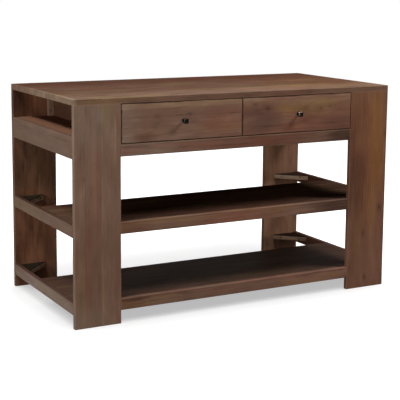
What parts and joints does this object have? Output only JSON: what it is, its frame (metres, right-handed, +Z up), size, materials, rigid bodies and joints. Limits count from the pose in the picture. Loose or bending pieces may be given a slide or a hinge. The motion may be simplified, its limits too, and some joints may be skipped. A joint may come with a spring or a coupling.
{
  "type": "kitchen island",
  "caption": "Plank-built kitchen island with inset drawers, open shelves set back from the rear for knee room, and an open slot at each end.",
  "frame": {"origin": "on the floor, under the centre of the island's box with the knobs counted in", "axes": "+X to the right seen from the drawers, +Y from the drawers to the back, +Z up"},
  "size_m": [1.506, 0.756, 0.914],
  "materials": {
    "stained_wood": "satin",
    "drawer_box_wood": "satin",
    "drawer_ply": "satin",
    "tenon_wood": "matte",
    "slide_steel": "satin",
    "screw_steel": "satin",
    "knob_bronze": "satin"
  },
  "bodies": {
    "frame": {"back_apron": "stained_wood", "back_left_corner_block": "stained_wood", "back_left_leg": "stained_wood", "back_right_corner_block": "stained_wood", "back_right_leg": "stained_wood", "bottom_front_rail": "stained_wood", "bottom_rear_rail": "stained_wood", "bottom_shelf_panel": "stained_wood", "drawer_divider": "stained_wood", "drawer_rail": "stained_wood", "frame_screws": "screw_steel", "front_left_corner_block": "stained_wood", "front_left_leg": "stained_wood", "front_right_corner_block": "stained_wood", "front_right_leg": "stained_wood", "left_bay_side": "stained_wood", "left_bottom_brace": "stained_wood", "left_bottom_end_rail": "stained_wood", "left_end_shelf": "stained_wood", "left_end_slide_channel": "slide_steel", "left_middle_brace": "stained_wood", "left_middle_end_rail": "stained_wood", "left_middle_slide_channel": "slide_steel", "left_upper_end_rail": "stained_wood", "middle_front_rail": "stained_wood", "middle_rear_rail": "stained_wood", "middle_shelf_panel": "stained_wood", "rail_tenons": "tenon_wood", "right_bay_side": "stained_wood", "right_bottom_brace": "stained_wood", "right_bottom_end_rail": "stained_wood", "right_end_shelf": "stained_wood", "right_end_slide_channel": "slide_steel", "right_middle_brace": "stained_wood", "right_middle_end_rail": "stained_wood", "right_middle_slide_channel": "slide_steel", "right_upper_end_rail": "stained_wood", "top_board": "stained_wood"},
    "left_drawer": {"left_drawer_back": "drawer_box_wood", "left_drawer_bottom": "drawer_ply", "left_drawer_end_side": "drawer_box_wood", "left_drawer_front": "stained_wood", "left_drawer_middle_side": "drawer_box_wood", "left_end_slide_runner": "slide_steel", "left_knob": "knob_bronze", "left_knob_bolt": "screw_steel", "left_middle_slide_runner": "slide_steel"},
    "right_drawer": {"right_drawer_back": "drawer_box_wood", "right_drawer_bottom": "drawer_ply", "right_drawer_end_side": "drawer_box_wood", "right_drawer_front": "stained_wood", "right_drawer_middle_side": "drawer_box_wood", "right_end_slide_runner": "slide_steel", "right_knob": "knob_bronze", "right_knob_bolt": "screw_steel", "right_middle_slide_runner": "slide_steel"},
    "left_end_carrier": {"left_end_slide_carrier": "slide_steel"},
    "left_middle_carrier": {"left_middle_slide_carrier": "slide_steel"},
    "right_end_carrier": {"right_end_slide_carrier": "slide_steel"},
    "right_middle_carrier": {"right_middle_slide_carrier": "slide_steel"}
  },
  "joints": [
    {"name": "left_drawer_slide", "type": "slide", "parent": "frame", "child": "left_drawer", "axis": [0, -1, 0], "range_m": [0, 0.5]},
    {"name": "right_drawer_slide", "type": "slide", "parent": "frame", "child": "right_drawer", "axis": [0, -1, 0], "range_m": [0, 0.5]},
    {"name": "left_end_carrier_slide", "type": "slide", "parent": "frame", "child": "left_end_carrier", "axis": [0, -1, 0], "range_m": [0, 0.25]},
    {"name": "left_middle_carrier_slide", "type": "slide", "parent": "frame", "child": "left_middle_carrier", "axis": [0, -1, 0], "range_m": [0, 0.25]},
    {"name": "right_end_carrier_slide", "type": "slide", "parent": "frame", "child": "right_end_carrier", "axis": [0, -1, 0], "range_m": [0, 0.25]},
    {"name": "right_middle_carrier_slide", "type": "slide", "parent": "frame", "child": "right_middle_carrier", "axis": [0, -1, 0], "range_m": [0, 0.25]}
  ],
  "couplings": [
    {"joint": "left_end_carrier_slide", "follows": "left_drawer_slide", "ratio": 0.5},
    {"joint": "left_middle_carrier_slide", "follows": "left_drawer_slide", "ratio": 0.5},
    {"joint": "right_end_carrier_slide", "follows": "right_drawer_slide", "ratio": 0.5},
    {"joint": "right_middle_carrier_slide", "follows": "right_drawer_slide", "ratio": 0.5}
  ]
}
